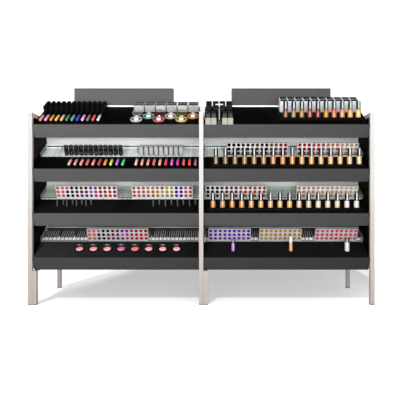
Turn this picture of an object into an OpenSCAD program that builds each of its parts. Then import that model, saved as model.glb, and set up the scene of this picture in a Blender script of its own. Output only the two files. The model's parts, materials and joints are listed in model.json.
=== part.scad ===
/* [Frame] */
// Width of the whole stand over its outer posts
stand_w = 2000; // [1200:10:2400]
// Depth of the whole stand, front face to rear face
stand_d = 600; // [560:10:700]
// Height of the corner posts
post_h = 1112; // [1100:1:1130]
// Width and depth of a square post
post = 25; // [20:1:30]
// Wall thickness of the square tubes
wall = 1.5; // [1:0.5:3]

/* [Decks] */
// Number of sloping decks in each bay
levels = 4; // [4:1:4]
// Height of the lowest deck's front edge
first_z = 267; // [260:1:275]
// Vertical distance from one deck to the next
pitch = 257; // [255:1:260]
// Slope of the decks, rising towards the middle of the stand
tilt = 29; // [25:1:30]
// Height of the fascia strip on a deck's front edge
fascia_h = 80; // [60:1:90]
// Thickness of the fascia strip
fascia_t = 12; // [8:1:16]
// Depth of the folded edges under a deck
pan_h = 24; // [16:1:30]
// Thickness of the deck's sheet
sheet = 2; // [1:0.5:3]

/* [Spine] */
// Thickness of the central spine, panel face to panel face
spine_t = 60; // [40:1:80]
// Height of the spine above the floor
spine_top = 1195; // [1190:1:1200]
// Height of the channel that caps the spine
cap_h = 45; // [30:1:60]
// Width of a header board
header_w = 620; // [400:10:700]
// Height of a header board
header_h = 108; // [80:1:200]
// Thickness of a header board
header_t = 50; // [20:1:56]

/* [Trays] */
// Distance from a deck's front edge to the front of its stock tray, along the slope
tray_v = 170; // [160:1:180]
// Length of a stock tray along the slope
tray_len = 126; // [100:1:126]
// Height of a stock tray's walls
lip = 29; // [20:1:35]
// Thickness of the clear acrylic
acrylic = 3; // [2:0.5:4]

/* [Hidden] */

// Levels are numbered from the top deck, 1, to the lowest, 4.
front_y = -stand_d / 2;
bay = (stand_w - post) / 2;
half_gap = 0.5;
post_x = [-bay, 0, bay];
glide_h = 4;
cap_t = 3;
plug_gap = 0.2;
inner_x = bay - post / 2;
rail_z = post_h - cap_t - post;
low_rail_z = 205;
panel_low = low_rail_z + post;
side_t = 3;
spine_y = spine_t / 2;
bay_span = bay - post - 2 * half_gap;
bay_mid = bay / 2;
deck_back = (stand_d / 2 - spine_y - 2) / cos(tilt);
pan_x = 4;
bracket_t = 2.5;
ledge_w = 20;
screw_d = 8;
screw_inset = 24;

function level_z(level) = first_z + (levels - level) * pitch;

function bay_x(side) = side == "left" ? -bay_mid : bay_mid;

// Places children on a front deck: x across, y up the slope from the front edge, z off the surface
module on_deck(level, x = 0) {
    translate([x, front_y, level_z(level)])
        rotate([tilt, 0, 0])
            children();
}

// Places children on the front deck and on its twin at the back of the stand
module turned() {
    rotate([0, 0, 180])
        children();
}

module box_tube(size, axis) {
    hollow = [for (i = [0:2]) i == axis ? size[i] + 2 : size[i] - 2 * wall];
    start = [for (i = [0:2]) i == axis ? -1 : wall];
    difference() {
        cube(size);
        translate(start)
            cube(hollow);
    }
}

module row(first, step, count) {
    for (i = [0:count - 1])
        translate([first + i * step, 0, 0])
            children();
}

/* ---- frame ---- */

module post_line(y) {
    color("ivory")
        for (x = post_x)
            translate([x - post / 2, y, glide_h])
                box_tube([post, post, post_h - glide_h - cap_t], 2);
}

module posts_front() {
    post_line(front_y);
}

module posts_rear() {
    post_line(-front_y - post);
}

leg_top = level_z(levels) - fascia_h * cos(tilt) - 1;
saddle_t = 4;
saddle_len = 62;
leg_x = [-bay + post + half_gap, post + half_gap];

// Short legs beside the left and middle front posts, each with a saddle under the lowest deck
module deck_legs() {
    color("ivory")
        for (x = leg_x)
            translate([x - post / 2, front_y, 0]) {
                translate([0, 0, glide_h])
                    box_tube([post, post, leg_top - saddle_t - glide_h], 2);
                translate([0, 0, leg_top - saddle_t])
                    cube([post, saddle_len, saddle_t]);
            }
}

module plug(flange_t, plug_len) {
    side = post - 2 * wall - 2 * plug_gap;
    translate([-post / 2, -post / 2, 0])
        cube([post, post, flange_t]);
    translate([-side / 2, -side / 2, -plug_len])
        cube([side, side, plug_len]);
}

module post_caps() {
    color("whitesmoke")
        for (x = post_x, y = [front_y + post / 2, -front_y - post / 2])
            translate([x, y, post_h - cap_t])
                plug(cap_t, 14);
}

module glide(x, y) {
    translate([x, y, glide_h])
        mirror([0, 0, 1])
            plug(glide_h, 18);
}

module foot_glides() {
    color("dimgray") {
        for (x = post_x, y = [front_y + post / 2, -front_y - post / 2])
            glide(x, y);
        for (x = leg_x)
            glide(x, front_y + post / 2);
    }
}

module end_rail(x, z) {
    translate([x - post / 2, front_y + post, z])
        box_tube([post, stand_d - 2 * post, post], 1);
}

// The two end rails run from post to post; the middle one is cut where the spine passes through
module rails_top() {
    half = stand_d / 2 - post - spine_y;
    color("ivory") {
        for (x = [-bay, bay])
            end_rail(x, rail_z);
        for (y = [front_y + post, spine_y])
            translate([-post / 2, y, rail_z])
                box_tube([post, half, post], 1);
    }
}

// Three rails from front to back, and the beams between them that carry the spine
module rails_bottom() {
    color("ivory") {
        for (x = post_x)
            end_rail(x, low_rail_z);
        for (start = [-inner_x, post / 2])
            translate([start, -post / 2, low_rail_z])
                box_tube([inner_x - post / 2, post, post], 0);
    }
}

module side_panels() {
    color("#141414")
        for (side = [-1, 1])
            translate([side * (inner_x + side_t / 2), 0, (panel_low + rail_z) / 2])
                cube([side_t, stand_d - 2 * post, rail_z - panel_low], center = true);
}

// Thin partitions between the bays, one in front of the spine and one behind it
module centre_panels() {
    depth = stand_d / 2 - post - spine_y;
    color("#141414")
        for (side = [-1, 1])
            translate([0, side * (spine_y + depth / 2), (panel_low + rail_z) / 2])
                cube([side_t, depth, rail_z - panel_low], center = true);
}

/* ---- spine and headers ---- */

upright_d = spine_t - 2 * sheet;
trim_w = 6;
cap_z = spine_top - cap_h;
tongue = [40, 6, 60];
tongue_x = header_w / 2 - 60;
slot_gap = 1;

module spine_uprights() {
    top = cap_z - half_gap;
    color("ivory")
        for (x = [-inner_x + post / 2, 0, inner_x - post / 2])
            translate([x - post / 2, -upright_d / 2, panel_low])
                box_tube([post, upright_d, top - panel_low], 2);
}

module spine_skin() {
    width = inner_x - trim_w - half_gap;
    for (side = [-1, 1])
        translate([side * (width / 2 + half_gap / 2), -spine_y + sheet / 2, (panel_low + cap_z) / 2])
            cube([width, sheet, cap_z - panel_low - 1], center = true);
}

module spine_panels_front() {
    color("lightgray")
        spine_skin();
}

module spine_panels_rear() {
    color("lightgray")
        turned()
            spine_skin();
}

// Bright edge strips down the outer edges of the spine panels
module panel_trims() {
    color("white")
        for (x = [-1, 1], y = [-1, 1])
            translate([x * (inner_x - trim_w / 2), y * (spine_y - sheet / 2), (panel_low + cap_z) / 2])
                cube([trim_w, sheet, cap_z - panel_low - 1], center = true);
}

module header_slots() {
    for (x = [-bay_mid, bay_mid], s = [-1, 1])
        translate([x + s * tongue_x, 0, spine_top])
            cube([tongue[0] + 2 * slot_gap, tongue[1] + 2 * slot_gap, 4 * sheet + 2], center = true);
}

module spine_cap() {
    color("white")
        difference() {
            translate([-inner_x, -spine_y, cap_z])
                cube([2 * inner_x, spine_t, cap_h]);
            translate([-inner_x - 1, -spine_y + sheet, cap_z - 1])
                cube([2 * inner_x + 2, spine_t - 2 * sheet, cap_h + 1 - sheet]);
            header_slots();
        }
}

// Guides inside the spine that hold the headers' tongues upright
module header_sockets() {
    outer = [tongue[0] + 2 * slot_gap + 4, upright_d - 1, 30];
    color("silver")
        for (x = [-bay_mid, bay_mid], s = [-1, 1])
            translate([x + s * tongue_x, 0, spine_top - sheet - outer[2] / 2 - half_gap / 2])
                difference() {
                    cube(outer, center = true);
                    cube([tongue[0] + 2 * slot_gap, tongue[1] + 2 * slot_gap, outer[2] + 2], center = true);
                }
}

module header(x) {
    lift = 0.3;
    color("dimgray")
        translate([x, 0, spine_top + lift]) {
            translate([-header_w / 2, -header_t / 2, 0])
                cube([header_w, header_t, header_h]);
            for (s = [-1, 1])
                translate([s * tongue_x, 0, -tongue[2] / 2])
                    cube(tongue, center = true);
        }
}

module header_left() {
    header(-bay_mid);
}

module header_right() {
    header(bay_mid);
}

/* ---- decks ---- */

// A folded steel deck: top sheet with an edge turned down on each side
module deck_pan() {
    width = bay_span - 2 * pan_x;
    length = deck_back - fascia_t - half_gap;
    drop = pan_h * tan(tilt);
    translate([-width / 2, fascia_t + half_gap, -sheet])
        cube([width, length, sheet]);
    translate([-width / 2, fascia_t + half_gap, -pan_h])
        cube([width, sheet, pan_h]);
    translate([-width / 2, fascia_t + half_gap + length - drop - sheet, -pan_h])
        cube([width, sheet, pan_h]);
    for (x = [-width / 2, width / 2 - sheet])
        translate([x, fascia_t + half_gap, -pan_h])
            cube([sheet, length - drop, pan_h]);
}

module all_decks() {
    for (level = [1:levels], x = [-bay_mid, bay_mid])
        on_deck(level, x)
            children();
}

module decks_front() {
    color("#101010")
        all_decks()
            deck_pan();
}

module decks_rear() {
    color("#101010")
        turned()
            all_decks()
                deck_pan();
}

module fascia() {
    translate([-bay_span / 2, 0, -fascia_h])
        cube([bay_span, fascia_t, fascia_h]);
}

module fascias_front() {
    color("gray")
        all_decks()
            fascia();
}

module fascias_rear() {
    color("gray")
        turned()
            all_decks()
                fascia();
}

bracket_start = 26;
web_h = 22;

// The top deck's brackets stop short, below the top rails
function bracket_len(level) = level == 1 ? 104 : 242;

// An angle bracket under one end of a deck; its web faces the panel it is screwed to
module bracket(length, panel_face, side) {
    web_x = side > 0 ? panel_face : panel_face - bracket_t;
    ledge_x = side > 0 ? panel_face : panel_face - ledge_w;
    translate([web_x, bracket_start, -pan_h - half_gap - bracket_t - web_h])
        cube([bracket_t, length, web_h + bracket_t]);
    translate([ledge_x, bracket_start, -pan_h - half_gap - bracket_t])
        cube([ledge_w, length, bracket_t]);
}

module bracket_set() {
    for (level = [1:levels])
        on_deck(level) {
            bracket(bracket_len(level), -inner_x, 1);
            bracket(bracket_len(level), -side_t / 2, -1);
            bracket(bracket_len(level), side_t / 2, 1);
            bracket(bracket_len(level), inner_x, -1);
        }
}

module brackets_front() {
    color("#1c1c1c")
        bracket_set();
}

module brackets_rear() {
    color("#1c1c1c")
        turned()
            bracket_set();
}

// Round screw heads on the brackets' webs
module screw_set() {
    faces = [[-inner_x + bracket_t, 1], [-side_t / 2 - bracket_t, -1],
             [side_t / 2 + bracket_t, 1], [inner_x - bracket_t, -1]];
    for (level = [1:levels], face = faces, v = [screw_inset, bracket_len(level) - screw_inset])
        on_deck(level)
            translate([face[0], bracket_start + v, -pan_h - bracket_t - web_h / 2])
                rotate([0, 90 * face[1], 0])
                    cylinder(d = screw_d, h = 2.5, $fn = 24);
}

module bracket_screws() {
    color("silver") {
        screw_set();
        turned()
            screw_set();
    }
}

/* ---- trays ---- */

tray_lift = 0.3;
tray_w = bay_span - 6;
fin_pitch = 94;
fin_count = 9;
fin_t = 2;
fin_h = 14;
fin_start = 34;

// An open acrylic tray, with low fins bonded to its floor that part the rows of stock
module tray() {
    translate([-tray_w / 2, tray_v, tray_lift])
        difference() {
            cube([tray_w, tray_len, lip]);
            translate([acrylic, acrylic, acrylic])
                cube([tray_w - 2 * acrylic, tray_len - 2 * acrylic, lip]);
        }
    row(-(fin_count - 1) / 2 * fin_pitch, fin_pitch, fin_count)
        translate([-fin_t / 2, tray_v + fin_start, tray_lift + acrylic])
            cube([fin_t, tray_len - fin_start - acrylic, fin_h]);
}

module clear_tray(level, side) {
    color([0.85, 0.95, 0.9, 0.5])
        on_deck(level, bay_x(side))
            tray();
}

module tray_left_2() { clear_tray(2, "left"); }
module tray_left_3() { clear_tray(3, "left"); }
module tray_left_4() { clear_tray(4, "left"); }
module tray_right_2() { clear_tray(2, "right"); }
module tray_right_3() { clear_tray(3, "right"); }
module tray_right_4() { clear_tray(4, "right"); }

module trays_rear() {
    color([0.85, 0.95, 0.9, 0.5])
        turned()
            for (level = [2:levels], x = [-bay_mid, bay_mid])
                on_deck(level, x)
                    tray();
}

/* ---- goods on the decks ---- */

rest_gap = 0.3;
round_fn = 32;
stock_v = 209;
stock_len = 84;
riser_foot = 30;

// Depth behind the front edge at which a bottle's axis stands, for each level that has bottles
bottle_d = [75, 38, 45];
bottle_r = 15;
neck_gap = 1;
body_h = [50, 49, 42];
bottle_cap_h = 46;
bottle_cap_r = [13.8, 12.5, 12.5];
bottle_first = [496, 85, 68];
bottle_pitch = [47.7, 55.7, 55.9];
bottle_count = [10, 16, 16];

function step_z(level) =
    level_z(level) + (bottle_d[level - 1] + bottle_r + neck_gap) * tan(tilt) + 1;

// Black wedge with a level top, which holds a row of bottles upright on the sloping deck
module riser(level) {
    depth = bottle_d[level - 1];
    near = depth - bottle_r - neck_gap;
    far = depth + bottle_r + neck_gap;
    rise = tan(tilt);
    low = level_z(level) + rest_gap;
    top = step_z(level);
    first = bottle_first[level - 1];
    last = first + (bottle_count[level - 1] - 1) * bottle_pitch[level - 1];
    translate([first - riser_foot, front_y, 0])
        rotate([90, 0, 90])
            linear_extrude(last - first + 2 * riser_foot)
                polygon([[near, low + near * rise], [far, low + far * rise], [far, top], [near, top]]);
}

module tester_risers() {
    color("#0a0a0a")
        for (level = [1:3])
            riser(level);
}

module bottle(height, cap_r) {
    cylinder(r = bottle_r, h = height - 3, $fn = round_fn);
    translate([0, 0, height - 3])
        cylinder(r1 = bottle_r, r2 = cap_r, h = 3, $fn = round_fn);
    translate([0, 0, height])
        cylinder(r = cap_r, h = bottle_cap_h, $fn = round_fn);
}

module bottle_row(level) {
    i = level - 1;
    color("peru")
        translate([0, front_y + bottle_d[i], step_z(level) + rest_gap])
            row(bottle_first[i], bottle_pitch[i], bottle_count[i])
                bottle(body_h[i], bottle_cap_r[i]);
}

module bottles_1() { bottle_row(1); }
module bottles_2() { bottle_row(2); }
module bottles_3() { bottle_row(3); }

// A tube lying on the slope, with its axis up the deck
module lying_tube(radius, length) {
    translate([0, 0, radius + rest_gap])
        rotate([-90, 0, 0])
            cylinder(r = radius, h = length, $fn = round_fn);
}

tube_1_w = 28;
tube_1_h = 43;

module tubes_1() {
    radius = tube_1_w / 2;
    color("#181818")
        on_deck(1)
            row(-952, 31.6, 12)
                translate([0, stock_v, rest_gap])
                    rotate([90, 0, 0])
                        translate([0, 0, -stock_len])
                            linear_extrude(stock_len) {
                                translate([-radius, 0])
                                    square([tube_1_w, tube_1_h - radius]);
                                translate([0, tube_1_h - radius])
                                    circle(r = radius, $fn = round_fn);
                            }
}

// Slim testers lying in front of the stock, each with a coloured end towards the customer. A turn
// swings their near ends towards the middle of the stand.
module tester_line(level, first, step, count, near, length, radius, turn = 0) {
    on_deck(level)
        row(first, step, count)
            translate([0, near + length, 0])
                rotate([0, 0, turn])
                    translate([0, -length, 0])
                        lying_tube(radius, length);
}

module testers_1() {
    color("salmon")
        tester_line(1, -944, 30.7, 12, 48, 140, 7.5);
}

module testers_2() {
    color("salmon") {
        tester_line(2, -775, 34.9, 10, 48, 88, 7.5);
        tester_line(2, -384, 34.9, 11, 48, 88, 7.5);
    }
}

box_1 = [62, 70, 42];

module boxes_1() {
    color("gainsboro")
        on_deck(1)
            row(-384, 66.3, 6)
                translate([-box_1[0] / 2, stock_v, rest_gap])
                    cube(box_1);
}

compact_1_r = 36;
compact_1_h = 12;
near_v = 73;
far_v = 124;

// Six round compacts, set alternately nearer and further up the slope
module compacts_1() {
    color("lightcoral")
        on_deck(1)
            for (i = [0:5])
                translate([-384 + i * 66.3, i % 2 == 0 ? near_v : far_v, rest_gap])
                    difference() {
                        cylinder(r = compact_1_r, h = compact_1_h, $fn = 64);
                        translate([0, 0, compact_1_h / 2])
                            cylinder(r = compact_1_r - 9, h = compact_1_h, $fn = 64);
                    }
}

// A round compact lid that stands open by an angle, with its hinge barrel along X at the origin
module open_lid(radius, thickness, angle) {
    rotate([180 - angle, 0, 0]) {
        translate([0, radius + 3, -thickness / 2])
            cylinder(r = radius, h = thickness, $fn = 64);
        translate([-barrel_w / 2, 0, -thickness / 2])
            cube([barrel_w, 6, thickness]);
        translate([-barrel_w / 2, 0, 0])
            rotate([0, 90, 0])
                cylinder(d = thickness, h = barrel_w, $fn = 24);
    }
}

barrel_w = 16;
lid_t = 4;
near_lid_r = 30;
near_lid_open = 165;
far_lid_r = 27;
far_lid_open = 155;
hinge_gap = 0.4;

// A line of three lids on the top deck, leaning back behind compacts whose centres are at v
module top_lids(first, v, radius, angle) {
    color("lightcoral")
        on_deck(1)
            row(first, 132.6, 3)
                translate([0, v + radius + 3, compact_1_h + rest_gap + lid_t / 2 + hinge_gap])
                    open_lid(radius, lid_t, angle);
}

module lids_1_near() {
    top_lids(-384, near_v, near_lid_r, near_lid_open);
}

// These stop short of the boxes, so that the boxes lift clear of them
module lids_1_far() {
    top_lids(-317.7, far_v, far_lid_r, far_lid_open);
}

refill = [35, stock_len, 42];

module refills_1() {
    color("#181818")
        on_deck(1)
            row(42, 41.2, 4)
                translate([-refill[0] / 2, stock_v, rest_gap])
                    cube(refill);
}

// A solid of the given width and height with a level top, whose base follows the slope of a deck
module slope_block(width, depth, height) {
    rise = tan(tilt);
    rotate([90, 0, 90])
        translate([0, 0, -width / 2])
            linear_extrude(width)
                polygon([[0, 0], [depth, depth * rise], [depth, height], [0, height]]);
}

flacon = [32, 30, 40];
flacon_cap = [28, 24, 38];
flacon_x = [39.6, 72.4, 136.2, 169];
flacon_near = 4;

// Square glass flacons with tall square caps, upright at the front edge of the top deck
module flacons_1() {
    color("tan")
        for (x = flacon_x)
            translate([x, front_y + flacon_near, level_z(1) + flacon_near * tan(tilt) + rest_gap]) {
                slope_block(flacon[0], flacon[1], flacon[2]);
                translate([-flacon_cap[0] / 2, (flacon[1] - flacon_cap[1]) / 2, flacon[2]])
                    cube(flacon_cap);
            }
}

stem_r = 12;
stem_h = 82;

// A slim clear stem on a foot that follows the slope, with a flat bar on top that holds a card
module card_stand_1() {
    color("darkseagreen")
        translate([104.5, front_y + flacon_near, level_z(1) + flacon_near * tan(tilt) + rest_gap]) {
            slope_block(2 * stem_r, 2 * stem_r, 20);
            translate([0, stem_r, 20])
                cylinder(r = stem_r, h = stem_h, $fn = round_fn);
            translate([0, stem_r, 20 + stem_h])
                cylinder(r = 4, h = 12, $fn = round_fn);
            translate([-22, 3, 20 + stem_h + 12])
                cube([44, 2 * stem_r - 6, 7]);
        }
}

carton = [44, 38, 70];

module cartons_1() {
    color("white")
        on_deck(1)
            row(bottle_first[0], bottle_pitch[0], bottle_count[0])
                for (i = [0, 1])
                    translate([-carton[0] / 2, stock_v + i * (carton[1] + 1), rest_gap])
                        cube(carton);
}

tube_2_r = 13;
tube_2_h = 66;
in_tray_v = tray_v + acrylic + 1;
in_tray_w = tray_lift + acrylic;

// Capped tubes that stand in the tray with their backs to its floor
module tubes_2() {
    color("#2a2a2a")
        on_deck(2)
            translate([0, in_tray_v + tube_2_r, in_tray_w + rest_gap]) {
                row(-817, 29.7, 12)
                    cylinder(r = tube_2_r, h = tube_2_h, $fn = round_fn);
                row(-366, 30, 9)
                    cylinder(r = tube_2_r, h = tube_2_h, $fn = round_fn);
            }
}

stick_pitch = 28.2;
stick_r = 10;
stick_rows = [27, 51, 75];
rack_h = 88;
rack_d = 24;

// A clear block with rows of lipsticks set in it, so that each shows its coloured end
module lipstick_rack(x, columns) {
    width = columns * stick_pitch;
    translate([x, in_tray_v, in_tray_w + rest_gap])
        difference() {
            translate([-width / 2, 0, 0])
                cube([width, rack_d, rack_h]);
            for (i = [0:columns - 1], w = stick_rows)
                translate([(i - (columns - 1) / 2) * stick_pitch, -1, w])
                    rotate([-90, 0, 0])
                        cylinder(r = stick_r, h = 3, $fn = 24);
        }
}

module rack_line(level, centres, columns) {
    color("rosybrown")
        on_deck(level)
            for (x = centres)
                lipstick_rack(x, columns);
}

module lipsticks_right_2() { rack_line(2, [333, 756], 13); }
module lipsticks_left_3() { rack_line(3, [-693, -237], 13); }
module lipsticks_right_3() { rack_line(3, [206, 753], 13); }
module lipsticks_left_4() { rack_line(4, [-505], 13); }
module lipsticks_right_4() { rack_line(4, [167, 472, 808], 9); }

module brushes_3() {
    color("darkgray") {
        tester_line(3, -871, 57.2, 4, 78, 88, 4, 13);
        tester_line(3, -834, 55, 4, 98, 68, 4, 13);
        tester_line(3, -292, 72, 4, 78, 88, 4, 5);
        tester_line(3, -256, 71.6, 4, 98, 68, 4, 5);
    }
}

compact_r = 27;
compact_h = 10;
compact_v = 86;
compact_first = -719.5;
compact_pitch = 81.8;
compact_count = 8;
lid_open = 40;
hinge_v = compact_v + compact_r + 3;
hinge_w = compact_h + rest_gap + lid_t / 2 + hinge_gap;

module compacts_4() {
    color("lightpink")
        on_deck(4)
            row(compact_first, compact_pitch, compact_count) {
                translate([0, compact_v, rest_gap])
                    difference() {
                        cylinder(r = compact_r, h = compact_h, $fn = 64);
                        translate([0, 0, compact_h - 3])
                            cylinder(r = compact_r - 4, h = 4, $fn = 64);
                    }
            }
}

// The compacts' lids, half open on one line of hinges behind the pans
module lids_4() {
    color("#202020")
        on_deck(4)
            row(compact_first, compact_pitch, compact_count)
                translate([0, hinge_v, hinge_w])
                    open_lid(compact_r, lid_t, lid_open);
}

// Single tubes, each upright on a foot that follows the slope: place across, height and radius
tube_4 = [[186.5, 73, 10.5], [527, 85, 11], [859, 79, 14]];
tube_4_d = 76;

module tubes_4() {
    color("plum")
        for (tube = tube_4) {
            near = tube_4_d - tube[2];
            foot = 2 * tube[2] * tan(tilt) + 1;
            translate([tube[0], front_y + near, level_z(4) + near * tan(tilt) + rest_gap]) {
                slope_block(2 * tube[2], 2 * tube[2], foot);
                translate([0, tube[2], foot])
                    cylinder(r = tube[2], h = tube[1] - foot, $fn = round_fn);
            }
        }
}

posts_front();
posts_rear();
deck_legs();
post_caps();
foot_glides();
rails_top();
rails_bottom();
side_panels();
centre_panels();
spine_uprights();
spine_panels_front();
spine_panels_rear();
panel_trims();
spine_cap();
header_sockets();
header_left();
header_right();
decks_front();
decks_rear();
fascias_front();
fascias_rear();
brackets_front();
brackets_rear();
bracket_screws();
tester_risers();
tray_left_2();
tray_left_3();
tray_left_4();
tray_right_2();
tray_right_3();
tray_right_4();
trays_rear();
tubes_1();
testers_1();
boxes_1();
compacts_1();
lids_1_near();
lids_1_far();
refills_1();
flacons_1();
card_stand_1();
cartons_1();
bottles_1();
tubes_2();
testers_2();
lipsticks_right_2();
bottles_2();
lipsticks_left_3();
lipsticks_right_3();
brushes_3();
bottles_3();
lipsticks_left_4();
lipsticks_right_4();
compacts_4();
lids_4();
tubes_4();
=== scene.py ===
"""Looks of a cosmetics display rack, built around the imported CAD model.

The CAD's steel, boards and trays stay, with softened edges and procedural materials. The goods on the
decks are replaced by detailed pieces, each placed from the boxes of the CAD solids that it stands for.
"""

import json
import math
from random import Random

import bmesh
import bpy
from mathutils import Matrix, Vector


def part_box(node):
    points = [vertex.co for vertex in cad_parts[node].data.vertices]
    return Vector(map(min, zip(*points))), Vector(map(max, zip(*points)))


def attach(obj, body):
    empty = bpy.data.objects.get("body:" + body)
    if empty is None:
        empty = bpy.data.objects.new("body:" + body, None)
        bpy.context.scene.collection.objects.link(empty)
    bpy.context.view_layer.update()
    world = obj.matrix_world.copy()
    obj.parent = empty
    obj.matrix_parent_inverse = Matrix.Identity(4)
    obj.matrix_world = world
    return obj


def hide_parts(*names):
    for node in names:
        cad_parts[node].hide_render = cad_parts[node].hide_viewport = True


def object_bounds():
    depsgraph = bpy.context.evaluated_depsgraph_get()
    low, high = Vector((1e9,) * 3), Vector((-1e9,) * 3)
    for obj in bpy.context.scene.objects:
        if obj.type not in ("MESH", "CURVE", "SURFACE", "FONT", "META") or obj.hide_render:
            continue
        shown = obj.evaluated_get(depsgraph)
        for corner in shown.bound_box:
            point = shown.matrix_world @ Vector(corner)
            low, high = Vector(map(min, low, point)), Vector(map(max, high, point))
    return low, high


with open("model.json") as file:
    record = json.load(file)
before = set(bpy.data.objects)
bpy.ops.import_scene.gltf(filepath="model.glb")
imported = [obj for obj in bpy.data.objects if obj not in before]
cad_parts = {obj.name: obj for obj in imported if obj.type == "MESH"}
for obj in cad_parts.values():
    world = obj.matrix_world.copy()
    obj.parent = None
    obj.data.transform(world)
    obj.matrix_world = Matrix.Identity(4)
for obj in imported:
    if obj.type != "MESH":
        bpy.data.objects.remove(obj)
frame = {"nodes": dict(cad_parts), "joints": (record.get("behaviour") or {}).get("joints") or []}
cad_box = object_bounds()

# ---- the CAD's driving dimensions, in metres ----

TILT = math.radians(29)
FIRST_DECK_Z = 0.267
DECK_PITCH = 0.257
LEVELS = 4
FRONT_Y = cad_box[0].y
UP_SLOPE = Vector((0, math.cos(TILT), math.sin(TILT)))
OFF_DECK = Vector((0, -math.sin(TILT), math.cos(TILT)))


def deck_edge(number):
    """The middle of a front deck's front edge. Deck 1 is the highest."""
    return Vector((0, FRONT_Y, FIRST_DECK_Z + (LEVELS - number) * DECK_PITCH))


# ---- camera, lights and world ----


def link(item):
    bpy.context.scene.collection.objects.link(item)


def aim(item, direction):
    """Turns a camera or lamp so that it looks along direction."""
    item.rotation_euler = Vector(direction).to_track_quat("-Z", "Y").to_euler()


def make_camera():
    """A level camera, 3.11 m in front of the posts."""
    data = bpy.data.cameras.new("camera")
    data.sensor_width = 36
    data.lens = 48.6
    data.shift_x = -0.0425
    data.shift_y = -0.01
    data.clip_end = 200
    camera = bpy.data.objects.new("camera", data)
    camera.location = (0.0913, -3.413, 0.628)
    aim(camera, (0, 1, 0))
    link(camera)
    bpy.context.scene.camera = camera


def make_lamp(name, kind, spot, direction, energy, **settings):
    """A lamp hidden from the camera. Glossy surfaces reflect the area lamps."""
    data = bpy.data.lights.new(name, kind)
    data.energy = energy
    for key, value in settings.items():
        setattr(data, key, value)
    lamp = bpy.data.objects.new(name, data)
    lamp.location = spot
    lamp.visible_camera = False
    aim(lamp, direction)
    link(lamp)


def make_world():
    """White around the object, dimmer where it lights surfaces, and dark in their reflections."""
    world = bpy.data.worlds.new("studio")
    world.use_nodes = True
    bpy.context.scene.world = world
    nodes, links = world.node_tree.nodes, world.node_tree.links
    nodes.clear()
    rays = nodes.new("ShaderNodeLightPath").outputs

    def white(strength):
        made = nodes.new("ShaderNodeBackground")
        made.inputs["Color"].default_value = (1, 1, 1, 1)
        made.inputs["Strength"].default_value = strength
        return made.outputs[0]

    def choose(ray, others, these):
        made = nodes.new("ShaderNodeMixShader")
        for index, socket in enumerate((rays[ray], others, these)):
            links.new(socket, made.inputs[index])
        return made.outputs[0]

    lighting = choose("Is Glossy Ray", white(0.5), white(0.05))
    shown = choose("Is Camera Ray", lighting, white(1.1))
    links.new(shown, nodes.new("ShaderNodeOutputWorld").inputs["Surface"])


make_camera()
make_lamp("key", "SUN", (0, 0, 0), (0.25, 1, -1.03), 1.2, angle=math.radians(1.2))
make_lamp("front", "AREA", (0.09, -3.9, 0.9), (0, 1, 0), 140, shape="RECTANGLE", size=4.6, size_y=2.4)
make_lamp("front_strip", "AREA", (0.09, -3.9, 0.7), (0, 1, 0), 80, shape="RECTANGLE", size=4.6, size_y=0.5)
make_lamp("rear", "AREA", (0, 3.6, 1.2), (0, -1, -0.15), 30, shape="RECTANGLE", size=4, size_y=2)
make_world()
bpy.context.scene.view_settings.view_transform = "Standard"

# ---- materials ----


def shade(text):
    """Linear RGBA of a hex colour."""
    parts = [int(text[i : i + 2], 16) / 255 for i in (1, 3, 5)]
    return tuple(c / 12.92 if c <= 0.04045 else ((c + 0.055) / 1.055) ** 2.4 for c in parts) + (1.0,)


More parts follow.
